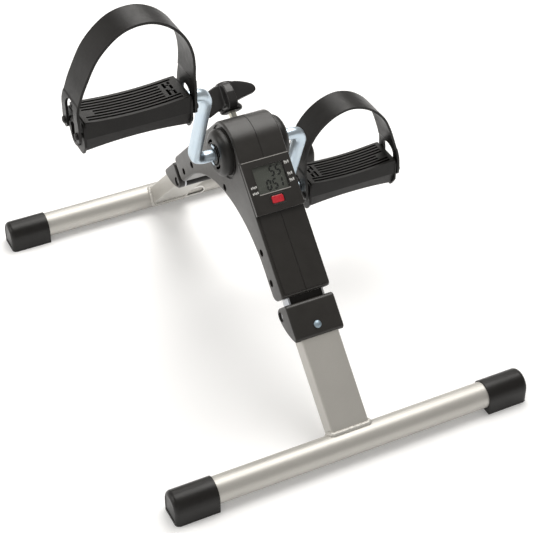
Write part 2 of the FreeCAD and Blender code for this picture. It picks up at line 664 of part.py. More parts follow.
# -------------------------------------------------------------------- pedals
# Built about the axle line, for the left pedal: +X is towards the machine.
def pedal_body():
    h = pedal_len / 2
    sec = [(-pedal_half, pedal_top), (pedal_half, pedal_top), (pedal_half, pedal_bevel), (14.0, pedal_bottom), (-14.0, pedal_bottom), (-pedal_half, pedal_bevel)]
    b = prism(sec, -h, h, flat, [1.5, 1.5, 1.0, 1.5, 1.5, 1.0])
    dip = 3.5
    rt = (h * h + dip * dip) / (2 * dip)
    b = b.cut(Part.makeCylinder(rt, 80, V(0, -40, pedal_top - dip + rt), V(0, 1, 0)))
    dip = 4.5
    rbm = (h * h + dip * dip) / (2 * dip)
    b = b.cut(Part.makeCylinder(rbm, 80, V(0, -40, pedal_bottom + dip - rbm), V(0, 1, 0)))
    # long grooves between the tread ribs
    for i in range(8):
        y = -15.75 + 4.5 * i
        x0, x1 = -47.5, 32.5
        if i in (2, 3):
            x0 = -38.0
        if i in (0, 1, 7):
            x1 = 46.5
        g = Part.makeBox(x1 - x0, 2.5, 8.0, V(x0, y - 1.25, 8.8))
        b = b.cut(g)
    # short cross slots beside the tread at the inner end
    for x0, y0, y1 in ((36.2, -8.6, 2.4), (36.2, 4.6, 13.2), (41.6, -8.6, -1.6), (41.6, 0.6, 7.4), (41.6, 9.4, 13.2)):
        b = b.cut(Part.makeBox(2.6, y1 - y0, 8.0, V(x0, y0, 8.8)))
    for y0 in (-1.6, 7.4):
        b = b.cut(Part.makeBox(3.2, 1.4, 8.0, V(38.6, y0, 8.8)))
    # axle bore, bush seats and the recess for the retaining nut
    b = b.cut(cyl_x(7.0, -60, 60, 0, 0))
    b = b.cut(cyl_x(8.5, h - 14.0, h + 1, 0, 0))
    b = b.cut(cyl_x(8.5, -36.0, -22.0, 0, 0).cut(cyl_x(7.0, -37, -21, 0, 0)))
    b = b.cut(cyl_x(11.0, -h - 1, -h + 9.0, 0, 0))
    return b


def pedal_bushes():
    h = pedal_len / 2
    out = []
    for a, bb in ((h - 14.0, h - 1.0), (-36.0, -22.0)):
        out.append(cyl_x(8.5 if a > 0 else 8.5, a, bb, 0, 0).cut(cyl_x(rod_r + 0.05, a - 1, bb + 1, 0, 0)))
    return Part.makeCompound(out)


def pedal_nut():
    h = pedal_len / 2
    n = cyl_x(9.0, -h + 2.5, -h + 8.0, 0, 0)
    return n.cut(cyl_x(rod_r, -h + 4.0, -h + 12, 0, 0))


def pedal_plate(sx):
    """End plate: shield outline, with a raised oval boss that has a hollow in it."""
    h = pedal_len / 2
    pts = [(-20.8, 13.0), (20.8, 13.0), (20.8, -12.0), (13.0, -23.2), (-13.0, -23.2), (-20.8, -12.0)]
    a, b = sorted((sx * h, sx * (h + plate_t)))
    p = prism(pts, a, b, flat, [5, 5, 7, 5, 5, 7])
    edge = sx * (h + plate_t)
    p = soften(p, lambda e: abs(e.CenterOfMass.x - edge) < 0.01, 0.9)
    e0, e1 = sorted((edge - sx * 0.5, edge + sx * 2.4))
    boss = prism([(-10.0, -19.5), (10.0, -19.5), (10.0, 9.5), (-10.0, 9.5)], e0, e1, flat, [9.5, 9.5, 9.5, 9.5])
    top = edge + sx * 2.4
    boss = soften(boss, lambda e: abs(e.CenterOfMass.x - top) < 0.01, 1.5)
    p = p.fuse(boss)
    oval = prism([(-6.6, -15.0), (6.6, -15.0), (6.6, 5.5), (-6.6, 5.5)], *sorted((edge + sx * 4, edge - sx * 0.6)), flat, [6.5, 6.5, 6.5, 6.5])
    p = p.cut(oval).removeSplitter()
    if sx > 0:
        p = p.cut(cyl_x(rod_r + 0.35, a - 1, b + 4, 0, 0))
    for y in (-16.0, 16.0):
        p = p.cut(cyl_x(2.4, a - 1, b + 1, y, 0))
    return p


def pedal_studs(line):
    h = pedal_len / 2
    out = []
    for sx, reach in ((-1, -min(line[0][0], line[1][0])), (1, max(line[-1][0], line[-2][0]))):
        x0, hb = sx * h, reach - h + 0.2
        for y in (-16.0, 16.0):
            prof = [(0.0, 0.0), (0.0, 2.4), (hb, 2.4), (hb, 3.7), (hb + 1.0, 3.7), (hb + 2.2, 2.9), (hb + 2.8, 1.2), (hb + 2.9, 0.0)]
            pts = [V(x0 + sx * q[0], y, q[1]) for q in prof]
            f = Part.Face(Part.makePolygon(pts + [pts[0]]))
            out.append(f.revolve(V(x0, y, 0), V(1, 0, 0), 360))
    return Part.makeCompound(out)


strap_left_line = [(-58.9, -7.0), (-58.9, 10.0), (-58.7, 25.0), (-54.0, 41.0), (-48.3, 54.0), (-40.5, 69.4), (-32.7, 80.1),
                   (-22.1, 90.1), (-11.8, 96.8), (-1.7, 100.2), (8.3, 101.3), (18.2, 100.4), (28.1, 96.8), (37.9, 90.7),
                   (47.3, 81.4), (54.0, 70.5), (58.4, 57.0), (59.6, 43.9), (59.3, 33.1), (58.8, 22.1), (58.2, 10.0), (58.1, -7.0)]
strap_right_line = [(-57.4, -7.0), (-57.3, 8.0), (-55.6, 23.5), (-50.2, 42.8), (-44.6, 58.5), (-37.8, 71.9), (-28.7, 82.3),
                    (-17.4, 90.9), (-6.0, 95.8), (5.0, 97.8), (16.0, 96.4), (26.5, 92.6), (35.8, 86.8), (44.2, 79.2),
                    (51.2, 69.8), (56.6, 58.5), (59.4, 45.0), (59.9, 33.1), (59.4, 22.1), (58.6, 10.0), (58.3, -7.0)]


def pedal_strap(line):
    """Moulded toe strap: an arched band whose ends fork to two studs."""
    bs = Part.BSplineCurve()
    bs.interpolate([V(u, 0, w) for u, w in line])
    a0, a1 = bs.FirstParameter, bs.LastParameter
    n = 64
    o, i = [], []
    for j in range(n + 1):
        t = a0 + (a1 - a0) * j / n
        p = bs.value(t)
        d = bs.tangent(t)[0]
        nrm = V(d.z, 0, -d.x)
        o.append(p)
        i.append(p + nrm * strap_t)
    co = Part.BSplineCurve()
    co.interpolate(o)
    ci = Part.BSplineCurve()
    ci.interpolate(i)
    wire = Part.Wire([co.toShape(), Part.LineSegment(o[-1], i[-1]).toShape(), ci.toShape(), Part.LineSegment(i[0], o[0]).toShape()])
    band = Part.Face(wire).extrude(V(0, 44.0, 0))
    band.translate(V(0, -22.0, 0))
    # narrow band above, wider forked ends below
    hw, hl = strap_half, 21.0
    outline = [(-hl, -7.5), (-hl, 12.0), (-hw, 34.0), (-hw, 140.0), (hw, 140.0), (hw, 34.0), (hl, 12.0), (hl, -7.5)]
    keep = prism(outline, -90, 90, flat, [6, 10, 30, 0, 0, 30, 10, 6])
    band = band.common(keep)
    # arched opening between the tines
    arch = prism([(-10.5, -20.0), (10.5, -20.0), (10.5, 27.0), (-10.5, 27.0)], -90, 90, flat, [0, 0, 9, 9])
    band = band.cut(arch)
    for sx in (-1, 1):
        for y in (-16.0, 16.0):
            band = band.cut(cyl_x(2.5, *sorted((sx * 40, sx * 70)), y, 0))
    return band


def place_pedal(shape, sx, mirrored=True):
    if sx > 0:
        shape = shape.mirror(V(0, 0, 0), V(1, 0, 0))
        shape.translate(V(pedal_x_right, axle_y, axis_z - axle_dz))
    else:
        shape = shape.copy()
        shape.translate(V(-pedal_x_left, -axle_y, axis_z + axle_dz))
    return shape


pedal = {
    "pedal_body": pedal_body(),
    "pedal_bushes": pedal_bushes(),
    "pedal_nut": pedal_nut(),
    "pedal_outer_plate": pedal_plate(-1),
    "pedal_inner_plate": pedal_plate(1),
}
for side, sx, line in (("left", -1, strap_left_line), ("right", 1, strap_right_line)):
    for name, shape in pedal.items():
        save(place_pedal(shape, sx), "%s_%s" % (side, name))
    save(place_pedal(pedal_studs(line), sx), "%s_pedal_studs" % side)
    save(place_pedal(pedal_strap(line), sx), "%s_pedal_strap" % side)

print(len(made), "nodes")
print("axle y %.3f dz %.3f  pivot front %s" % (axle_y, axle_dz, front(pivot_n, pivot_s)))
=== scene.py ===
import math

import bpy
import bmesh
from mathutils import Matrix, Vector, noise

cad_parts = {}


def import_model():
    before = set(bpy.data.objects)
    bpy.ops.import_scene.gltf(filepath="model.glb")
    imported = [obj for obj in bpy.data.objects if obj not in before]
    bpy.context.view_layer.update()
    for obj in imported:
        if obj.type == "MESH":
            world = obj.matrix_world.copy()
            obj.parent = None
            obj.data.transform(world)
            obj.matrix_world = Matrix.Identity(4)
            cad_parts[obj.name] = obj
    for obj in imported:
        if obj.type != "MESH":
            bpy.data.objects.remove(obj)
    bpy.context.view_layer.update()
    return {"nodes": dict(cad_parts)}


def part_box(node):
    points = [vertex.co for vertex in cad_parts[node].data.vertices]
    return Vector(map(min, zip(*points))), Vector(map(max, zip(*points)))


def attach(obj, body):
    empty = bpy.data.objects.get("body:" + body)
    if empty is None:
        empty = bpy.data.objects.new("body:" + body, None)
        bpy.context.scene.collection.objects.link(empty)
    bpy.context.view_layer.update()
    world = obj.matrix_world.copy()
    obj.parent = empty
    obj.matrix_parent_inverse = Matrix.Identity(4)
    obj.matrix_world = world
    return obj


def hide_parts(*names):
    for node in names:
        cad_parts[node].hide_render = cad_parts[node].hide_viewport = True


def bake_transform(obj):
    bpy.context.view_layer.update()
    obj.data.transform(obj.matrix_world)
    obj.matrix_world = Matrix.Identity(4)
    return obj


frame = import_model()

NODES = frame["nodes"]
K = math.sqrt(0.5)
MM = 0.001


# ------------------------------------------------------------------ materials
class Mat:
    """A Principled material with small helpers for procedural detail."""

    def __init__(self, name, rough=0.5, metal=0.0, **values):
        self.m = bpy.data.materials.new(name)
        self.m.use_nodes = True
        self.t = self.m.node_tree
        self.b = self.t.nodes["Principled BSDF"]
        self.b.inputs["Metallic"].default_value = metal
        self.b.inputs["Roughness"].default_value = rough
        for k, v in values.items():
            self.b.inputs[k.replace("_", " ")].default_value = v
        self.co = self.new("ShaderNodeTexCoord").outputs["Object"]
        self.normal = None

    def new(self, kind, **props):
        n = self.t.nodes.new(kind)
        for k, v in props.items():
            setattr(n, k, v)
        return n

    def link(self, a, b):
        self.t.links.new(a, b)

    def mapped(self, scale=(1, 1, 1), rot=(0, 0, 0)):
        n = self.new("ShaderNodeMapping")
        n.inputs["Scale"].default_value = scale
        n.inputs["Rotation"].default_value = rot
        self.link(self.co, n.inputs["Vector"])
        return n.outputs["Vector"]

    def noise(self, scale, detail=3.0, rough=0.55, vec=None, dist=0.0):
        n = self.new("ShaderNodeTexNoise")
        n.inputs["Scale"].default_value = scale
        n.inputs["Detail"].default_value = detail
        n.inputs["Roughness"].default_value = rough
        n.inputs["Distortion"].default_value = dist
        self.link(vec if vec is not None else self.co, n.inputs["Vector"])
        return n.outputs["Fac"]

    def voronoi(self, scale, vec=None, feature="F1"):
        n = self.new("ShaderNodeTexVoronoi", feature=feature)
        n.inputs["Scale"].default_value = scale
        self.link(vec if vec is not None else self.co, n.inputs["Vector"])
        return n.outputs["Distance"]

    def ramp(self, fac, stops):
        n = self.new("ShaderNodeValToRGB")
        e = n.color_ramp.elements
        while len(e) < len(stops):
            e.new(0.5)
        for i, (p, c) in enumerate(stops):
            e[i].position = p
            e[i].color = (c, c, c, 1) if isinstance(c, (int, float)) else (*c, 1)
        self.link(fac, n.inputs["Fac"])
        return n.outputs["Color"]

    def remap(self, fac, a, b, c, d):
        n = self.new("ShaderNodeMapRange")
        for i, v in zip(("From Min", "From Max", "To Min", "To Max"), (a, b, c, d)):
            n.inputs[i].default_value = v
        self.link(fac, n.inputs["Value"])
        return n.outputs["Result"]

    def mix(self, fac, a, b, mode="MIX"):
        n = self.new("ShaderNodeMix", data_type="RGBA", blend_type=mode)
        for sock, v in ((n.inputs[0], fac), (n.inputs[6], a), (n.inputs[7], b)):
            if hasattr(v, "is_output"):
                self.link(v, sock)
            elif isinstance(v, (int, float)):
                sock.default_value = v
            else:
                sock.default_value = (*v, 1)
        return n.outputs[2]

    def math(self, op, a, b=0.0):
        n = self.new("ShaderNodeMath", operation=op)
        for sock, v in zip(n.inputs, (a, b)):
            if hasattr(v, "is_output"):
                self.link(v, sock)
            else:
                sock.default_value = v
        return n.outputs[0]

    def bump(self, height, distance, strength=1.0):
        n = self.new("ShaderNodeBump")
        n.inputs["Strength"].default_value = strength
        n.inputs["Distance"].default_value = distance
        self.link(height, n.inputs["Height"])
        if self.normal is not None:
            self.link(self.normal, n.inputs["Normal"])
        self.normal = n.outputs["Normal"]
        self.link(self.normal, self.b.inputs["Normal"])

    def color(self, out):
        self.link(out, self.b.inputs["Base Color"])

    def rough(self, out):
        self.link(out, self.b.inputs["Roughness"])

    def edges(self, radius=0.0012, lo=0.965, hi=0.9):
        """A mask that is 1 along convex edges, for wear."""
        bev = self.new("ShaderNodeBevel", samples=6)
        bev.inputs["Radius"].default_value = radius
        geo = self.new("ShaderNodeNewGeometry")
        dot = self.new("ShaderNodeVectorMath", operation="DOT_PRODUCT")
        self.link(bev.outputs["Normal"], dot.inputs[0])
        self.link(geo.outputs["Normal"], dot.inputs[1])
        return self.remap(dot.outputs["Value"], hi, lo, 1.0, 0.0)


def up_facing(m):
    geo = m.new("ShaderNodeNewGeometry")
    sep = m.new("ShaderNodeSeparateXYZ")
    m.link(geo.outputs["Normal"], sep.inputs[0])
    return m.remap(sep.outputs["Z"], 0.2, 1.0, 0.0, 1.0)


def moulded(name, base, light, rough=(0.42, 0.58), grain=1500, depth=0.00006, dust=0.05, spec=0.5):
    """Moulded plastic: fine texture, faint colour drift, scuffs and a trace of dust."""
    m = Mat(name)
    m.b.inputs["Specular IOR Level"].default_value = spec
    broad = m.noise(14, 4, 0.6)
    mid = m.noise(95, 5, 0.62)
    fine = m.noise(grain, 2, 0.5)
    cells = m.voronoi(grain * 0.8)
    col = m.mix(m.ramp(broad, [(0.3, 0.0), (0.7, 1.0)]), base, light)
    speck = m.ramp(fine, [(0.35, 0.0), (0.75, 1.0)])
    col = m.mix(m.math("MULTIPLY", speck, 0.22), col, tuple(min(1, c * 1.9 + 0.01) for c in light))
    scuff = m.ramp(m.noise(60, 8, 0.75, m.mapped((1, 4.5, 1.6), (0.3, 0.2, 0.9)), 1.2), [(0.62, 0.0), (0.74, 1.0)])
    col = m.mix(m.math("MULTIPLY", scuff, 0.10), col, tuple(min(1, c * 3 + 0.02) for c in light))
    if dust:
        film = m.math("MULTIPLY", up_facing(m), m.ramp(mid, [(0.35, 0.1), (0.8, 1.0)]))
        col = m.mix(m.math("MULTIPLY", film, dust), col, (0.42, 0.40, 0.37))
    m.color(col)
    r = m.remap(mid, 0.25, 0.75, rough[0], rough[1])
    r = m.math("ADD", r, m.math("MULTIPLY", scuff, 0.06))
    m.rough(r)
    m.bump(m.math("ADD", fine, m.math("MULTIPLY", cells, 0.6)), depth, 0.8)
    m.bump(mid, depth * 2.0, 0.25)
    return m


housing = moulded("housing_plastic", (0.0112, 0.0098, 0.0083), (0.0166, 0.0147, 0.0125), (0.36, 0.48), 1500, 0.00005, 0.014)
housing.b.inputs["Sheen Weight"].default_value = 0.19
housing.b.inputs["Sheen Roughness"].default_value = 0.35
housing.b.inputs["Coat Weight"].default_value = 0.48
housing.b.inputs["Coat Roughness"].default_value = 0.34
housing.b.inputs["Specular IOR Level"].default_value = 0.26
cover = moulded("cover_plastic", (0.0085, 0.0080, 0.0072), (0.0135, 0.0125, 0.0113), (0.30, 0.42), 1700, 0.00004, 0.014, 0.34)
black = moulded("pedal_plastic", (0.0052, 0.0046, 0.0041), (0.0092, 0.0082, 0.0074), (0.34, 0.48), 1400, 0.00005, 0.075, 0.24)
knob_mat = moulded("knob_plastic", (0.0080, 0.0076, 0.0074), (0.0150, 0.0142, 0.0138), (0.26, 0.38), 1500, 0.00004, 0.02)
cap_mat = moulded("cap_rubber", (0.0058, 0.0052, 0.0047), (0.0104, 0.0094, 0.0086), (0.30, 0.42), 1200, 0.00005, 0.012, 0.30)


def strap_material():
    m = Mat("strap_plastic")
    m.b.inputs["Specular IOR Level"].default_value = 0.30
    m.b.inputs["Sheen Weight"].default_value = 0.0
    m.b.inputs["Sheen Roughness"].default_value = 0.5
    broad = m.noise(22, 4, 0.6)
    mid = m.noise(160, 5, 0.6)
    fine = m.noise(1900, 2, 0.5)
    # long faint flow lines round the band
    flow = m.noise(46, 6, 0.7, m.mapped((0.25, 9.0, 0.25)), 0.4)
    col = m.mix(m.ramp(broad, [(0.3, 0.0), (0.72, 1.0)]), (0.0056, 0.0050, 0.0046), (0.0100, 0.0090, 0.0082))
    col = m.mix(m.math("MULTIPLY", m.ramp(flow, [(0.45, 0.0), (0.8, 1.0)]), 0.2), col, (0.030, 0.029, 0.029))
    col = m.mix(m.math("MULTIPLY", up_facing(m), 0.012), col, (0.4, 0.39, 0.37))
    m.color(col)
    m.rough(m.remap(m.math("ADD", m.math("MULTIPLY", mid, 0.6), m.math("MULTIPLY", flow, 0.4)), 0.3, 0.7, 0.30, 0.48))
    m.bump(fine, 0.00003, 0.8)
    m.bump(flow, 0.00012, 0.35)
    return m


def paint_material(name, base, dark, flake=2600):
    """Silver powder coat: flakes, faint orange peel and small handling marks."""
    m = Mat(name, metal=0.55)
    m.b.inputs["Coat Weight"].default_value = 0.12
    m.b.inputs["Coat Roughness"].default_value = 0.32
    flakes = m.noise(flake, 2, 0.5)
    peel = m.noise(420, 2, 0.5)
    broad = m.noise(18, 4, 0.6)
    marks = m.ramp(m.noise(75, 9, 0.78, m.mapped((1.2, 3.0, 5.0), (0.5, 0.1, 0.3)), 1.6), [(0.66, 0.0), (0.78, 1.0)])
    col = m.mix(m.ramp(broad, [(0.3, 0.0), (0.7, 1.0)]), base, tuple(c * 0.93 for c in base))
    col = m.mix(m.math("MULTIPLY", m.ramp(flakes, [(0.5, 0.0), (0.8, 1.0)]), 0.4), col, tuple(min(1, c * 1.35) for c in base))
    col = m.mix(m.math("MULTIPLY", marks, 0.16), col, dark)
    m.color(col)
    m.rough(m.remap(flakes, 0.3, 0.7, 0.36, 0.52))
    m.bump(flakes, 0.00003, 0.6)
    m.bump(peel, 0.00008, 0.35)
    return m


def zinc_material(name, base, rough=(0.16, 0.30), axis=(1, 1, 1)):
    """Bright zinc plate: draw marks, soft mottling and a bluish cast."""
    m = Mat(name, metal=1.0)
    broad = m.noise(30, 5, 0.6)
    mottled = m.noise(240, 4, 0.6)
    lines = m.noise(700, 3, 0.6, m.mapped((0.05, 1.0, 1.0) if axis == "x" else (1.0, 0.6, 0.08)))
    col = m.mix(m.ramp(broad, [(0.35, 0.0), (0.7, 1.0)]), base, (base[0] * 0.86, base[1] * 0.90, base[2] * 0.97))
    col = m.mix(m.math("MULTIPLY", m.ramp(mottled, [(0.5, 0.0), (0.8, 1.0)]), 0.35), col, (base[0] * 1.02, base[1] * 0.98, base[2] * 0.88))
    m.color(col)
    m.rough(m.remap(m.math("ADD", m.math("MULTIPLY", mottled, 0.5), m.math("MULTIPLY", lines, 0.5)), 0.3, 0.7, rough[0], rough[1]))
    m.bump(lines, 0.00003, 0.4)
    m.bump(mottled, 0.00005, 0.25)
    return m


def red_material():
    m = Mat("red_plastic")
    m.b.inputs["Coat Weight"].default_value = 0.35
    m.b.inputs["Coat Roughness"].default_value = 0.12
    m.b.inputs["Subsurface Weight"].default_value = 0.0
    v = m.noise(240, 4, 0.6)
    m.color(m.mix(m.ramp(v, [(0.35, 0.0), (0.7, 1.0)]), (0.50, 0.010, 0.022), (0.58, 0.018, 0.032)))
    m.rough(m.remap(v, 0.3, 0.7, 0.24, 0.36))
    m.bump(m.noise(1600, 2, 0.5), 0.00003, 0.5)
    return m


def lcd_material():
    m = Mat("lcd_panel")
    m.b.inputs["Coat Weight"].default_value = 0.2
    m.b.inputs["Coat Roughness"].default_value = 0.1
    v = m.noise(60, 4, 0.6)
    fine = m.noise(2400, 2, 0.5)
    col = m.mix(m.ramp(v, [(0.3, 0.0), (0.75, 1.0)]), (0.068, 0.074, 0.063), (0.084, 0.090, 0.077))
    col = m.mix(m.math("MULTIPLY", fine, 0.2), col, (0.115, 0.122, 0.105))
    m.color(col)
    m.rough(m.remap(fine, 0.3, 0.7, 0.30, 0.42))
    m.bump(fine, 0.00001, 0.5)
    return m


def plain_detail(name, base, rough=0.5, metal=0.0, scale=600, var=0.25, depth=0.00003):
    m = Mat(name, metal=metal)
    v = m.noise(scale, 4, 0.6)
    w = m.noise(scale * 0.12, 4, 0.6)
    lo = tuple(c * (1 - var) for c in base)
    hi = tuple(min(1, c * (1 + var)) for c in base)
    m.color(m.mix(m.ramp(m.math("ADD", m.math("MULTIPLY", v, 0.5), m.math("MULTIPLY", w, 0.5)), [(0.35, 0.0), (0.65, 1.0)]), lo, hi))
    m.rough(m.remap(v, 0.3, 0.7, rough * 0.85, min(1, rough * 1.15)))
    m.bump(v, depth, 0.5)
    return m


def window_material():
    """Clear acrylic: mostly lets light through, with a glossy coat and faint hairlines."""
    m = Mat("clear_window")
    hair = m.noise(900, 5, 0.7, m.mapped((0.4, 1.0, 6.0), (0.4, 0.3, 0.2)))
    m.b.inputs["Alpha"].default_value = 0.035
    m.b.inputs["Specular IOR Level"].default_value = 0.5
    m.color(m.mix(m.ramp(hair, [(0.4, 0.0), (0.8, 1.0)]), (0.10, 0.11, 0.10), (0.16, 0.17, 0.16)))
    m.rough(m.remap(hair, 0.3, 0.7, 0.05, 0.12))
    return m


strap_mat = strap_material()
silver = paint_material("silver_paint", (0.525, 0.509, 0.475), (0.20, 0.19, 0.175))
weld_mat = paint_material("weld_paint", (0.56, 0.545, 0.51), (0.20, 0.19, 0.175), 1800)
zinc = zinc_material("zinc_plate", (0.595, 0.685, 0.745), (0.30, 0.42))
# painted highlight: a light grey for the bar hole's rim, standing in for light on its edge
bright = plain_detail("rim_painted_highlight", (0.80, 0.79, 0.76), 0.34, 0, 900, 0.06, 0.00001)
snap_zinc = zinc_material("snap_zinc", (0.34, 0.42, 0.47), (0.46, 0.60))
steel = zinc_material("plain_steel", (0.60, 0.60, 0.60), (0.28, 0.42))
screw_steel = zinc_material("dark_steel", (0.30, 0.30, 0.31), (0.28, 0.42))
brass = zinc_material("screw_zinc", (0.62, 0.60, 0.52), (0.20, 0.32))
bronze = plain_detail("bush_sleeve", (0.035, 0.033, 0.030), 0.42, 0.0)
red = red_material()
lcd = lcd_material()
window = window_material()
ink = plain_detail("segment_ink", (0.004, 0.005, 0.0045), 0.35, 0, 900, 0.2, 0.00001)
white = plain_detail("label_white", (0.62, 0.62, 0.60), 0.5, 0, 1500, 0.08, 0.00001)
# painted highlight: light grey for thin strips that stand in for lit edges on the console
painted_highlight_grey = plain_detail("painted_highlight_strip", (0.36, 0.35, 0.33), 0.36, 0, 900, 0.12, 0.00001)
board_mat = plain_detail("board_green", (0.02, 0.11, 0.05), 0.45, 0, 900, 0.25)
cell_mat = plain_detail("cell_sleeve", (0.4, 0.4, 0.38), 0.4, 0.3)
felt = plain_detail("felt_liner", (0.12, 0.10, 0.08), 0.95, 0, 2500, 0.4, 0.0002)


# --------------------------------------------------------------- mesh helpers
def obj(name, verts, faces, mat, smooth=True):
    me = bpy.data.meshes.new(name)
    me.from_pydata([tuple(v) for v in verts], [], faces)
    me.validate()
    me.update()
    bm = bmesh.new()
    bm.from_mesh(me)
    bmesh.ops.remove_doubles(bm, verts=bm.verts, dist=1e-7)
    bmesh.ops.recalc_face_normals(bm, faces=bm.faces)
    bm.to_mesh(me)
    bm.free()
    for p in me.polygons:
        p.use_smooth = smooth
    o = bpy.data.objects.new(name, me)
    bpy.context.scene.collection.objects.link(o)
    me.materials.append(mat.m)
    return o


def bevel(o, width, segments=2, angle=35, harden=True):
    b = o.modifiers.new("bevel", "BEVEL")
    b.width = width
    b.segments = segments
    b.limit_method = "ANGLE"
    b.angle_limit = math.radians(angle)
    b.harden_normals = harden
    b.use_clamp_overlap = True
    b.miter_outer = "MITER_ARC"
    return b


def sharpen(o, angle=35):
    o.data.set_sharp_from_angle(angle=math.radians(angle))


def finish_cad(name, mat, width=0.00025, segments=2, angle=32, smooth_angle=32):
    """Keep a CAD node's shape: merge its seams, soften its edges and give it a material."""
    o = NODES[name]
    me = o.data
    me.materials.clear()
    me.materials.append(mat.m)
    if "custom_normal" in me.attributes:
        me.attributes.remove(me.attributes["custom_normal"])
    for p in me.polygons:
        p.use_smooth = True
    w = o.modifiers.new("join", "WELD")
    w.merge_threshold = 2e-6
    if width:
        bevel(o, width, segments, angle)
    return o


def tube(path, radius, segs=16, closed=False, cap=True):
    """Swept round tube; radius may be a function of the point's index. Returns verts, faces."""
    n = len(path)
    verts, faces = [], []
    prev = None
    for i, p in enumerate(path):
        if closed:
            d = (path[(i + 1) % n] - path[i - 1]).normalized()
        else:
            d = (path[min(i + 1, n - 1)] - path[max(i - 1, 0)]).normalized()
        if prev is None:
            up = Vector((0, 0, 1)) if abs(d.z) < 0.9 else Vector((1, 0, 0))
            a = d.cross(up).normalized()
        else:
            a = (prev - d * prev.dot(d)).normalized()
        prev = a
        b = d.cross(a)
        r = radius(i) if callable(radius) else radius
        for j in range(segs):
            t = 2 * math.pi * j / segs
            verts.append(p + a * (r * math.cos(t)) + b * (r * math.sin(t)))
    rings = n if closed else n - 1
    for i in range(rings):
        k = (i + 1) % n
        for j in range(segs):
            j2 = (j + 1) % segs
            faces.append((i * segs + j, i * segs + j2, k * segs + j2, k * segs + j))
    if cap and not closed:
        faces.append(tuple(range(segs))[::-1])
        faces.append(tuple(range((n - 1) * segs, n * segs)))
    return verts, faces


def arm(n, s, x=0.0, side=-1):
    """A point in an arm's side view; side -1 is the display arm, +1 the rear arm. In mm."""
    return Vector((x, side * (n - s) * K, (s + n) * K)) * MM


def extrude_outline(pts, place, t0, t1):
    """Closed prism from a 2-D outline; place(u, v, h) gives the 3-D point."""
    n = len(pts)
    verts = [place(u, v, t0) for u, v in pts] + [place(u, v, t1) for u, v in pts]
    faces = [tuple(range(n))[::-1], tuple(range(n, 2 * n))]
    faces += [(i, (i + 1) % n, n + (i + 1) % n, n + i) for i in range(n)]
    return verts, faces


def join(parts):
    verts, faces = [], []
    for v, f in parts:
        k = len(verts)
        verts += v
        faces += [tuple(i + k for i in q) for q in f]
    return verts, faces


def rounded_rect(hw, hh, r, n=5, cu=0.0, cv=0.0):
    out = []
    for sx, sy, a0 in ((1, 1, 0), (-1, 1, 90), (-1, -1, 180), (1, -1, 270)):
        for i in range(n + 1):
            t = math.radians(a0 + 90 * i / n)
            out.append((cu + sx * (hw - r) + r * math.cos(t), cv + sy * (hh - r) + r * math.sin(t)))
    return out


def ring_outline(outer, inner, place, t0, t1):
    """A flat frame between two outlines with equal point counts."""
    n = len(outer)
    verts = []
    for loop, h in ((outer, t0), (outer, t1), (inner, t1), (inner, t0)):
        verts += [place(u, v, h) for u, v in loop]
    faces = []
    for i in range(n):
        j = (i + 1) % n
        for a in range(4):
            b = (a + 1) % 4
            faces.append((a * n + i, a * n + j, b * n + j, b * n + i))
    return verts, faces


# ------------------------------------------------------------------ CAD nodes
plan = {
    "housing_shell_left": (housing, 0.00035), "housing_shell_right": (housing, 0.00035),
    "housing_screws": (screw_steel, 0.0002),
    "bearing_cover_left": (cover, 0.0003), "bearing_cover_right": (cover, 0.0003),
    "crank_bush_left": (cover, 0.0003), "crank_bush_right": (cover, 0.0003),
    "console_bezel": (housing, 0.00035), "display_window": (window, 0.0001), "display_module": (lcd, 0.0002),
    "meter_board": (board_mat, 0.0001), "meter_switch": (black, 0.0001), "battery_cell": (cell_mat, 0.0002),
    "speed_sensor": (black, 0.0002), "screw_nut": (steel, 0.0002),
    "front_hinge_bracket": (steel, 0.0003), "rear_hinge_bracket": (steel, 0.0003),
    "front_hinge_core": (black, 0.0003), "rear_hinge_core": (black, 0.0003),
    "brake_drum": (black, 0.0003), "drum_magnet": (steel, 0.0002),
    "brake_shoe": (black, 0.0003), "brake_liner": (felt, 0.0), "tension_screw": (brass, 0.0002),
    "reset_button": (red, 0.00025),
}
for side in ("left", "right"):
    plan.update({
        side + "_pedal_body": (black, 0.0004), side + "_pedal_bushes": (bronze, 0.0002), side + "_pedal_nut": (zinc, 0.0003),
        side + "_pedal_outer_plate": (black, 0.0004), side + "_pedal_inner_plate": (black, 0.0004),
        side + "_pedal_studs": (black, 0.0003),
    })
for end in ("front", "rear"):
    plan.update({
        end + "_crossbar": (silver, 0.0003), end + "_upright": (silver, 0.0003), end + "_end_caps": (cap_mat, 0.0005),
        end + "_knuckle": (housing, 0.0004), end + "_hinge_pin": (steel, 0.0003), end + "_snap_button": (snap_zinc, 0.0002),
    })
for name, (mat, width) in plan.items():
    finish_cad(name, mat, width)


# --------------------------------------------------------------------- straps
def catmull(points, per=14):
    out = []
    n = len(points)
    for i in range(n - 1):
        p0 = points[max(i - 1, 0)]
        p1, p2 = points[i], points[i + 1]
        p3 = points[min(i + 2, n - 1)]
        for j in range(per):
            t = j / per
            q = []
            for a, b, c, d in zip(p0, p1, p2, p3):
                q.append(0.5 * (2 * b + (c - a) * t + (2 * a - 5 * b + 4 * c - d) * t * t + (3 * b - a - 3 * c + d) * t ** 3))
            out.append(Vector(q))
    out.append(Vector(points[-1]))
    return out


class Curve:
    def __init__(self, pts):
        self.p = pts
        self.s = [0.0]
        for a, b in zip(pts, pts[1:]):
            self.s.append(self.s[-1] + (b - a).length)
        self.length = self.s[-1]

    def at(self, s):
        s = min(max(s, 0.0), self.length)
        lo, hi = 0, len(self.s) - 1
        while hi - lo > 1:
            m = (lo + hi) // 2
            if self.s[m] <= s:
                lo = m
            else:
                hi = m
        t = (s - self.s[lo]) / max(self.s[hi] - self.s[lo], 1e-9)
        return self.p[lo].lerp(self.p[hi], t)

    def tangent(self, s, h=1.2):
        a, b = self.at(s - h), self.at(s + h)
        return (b - a).normalized()


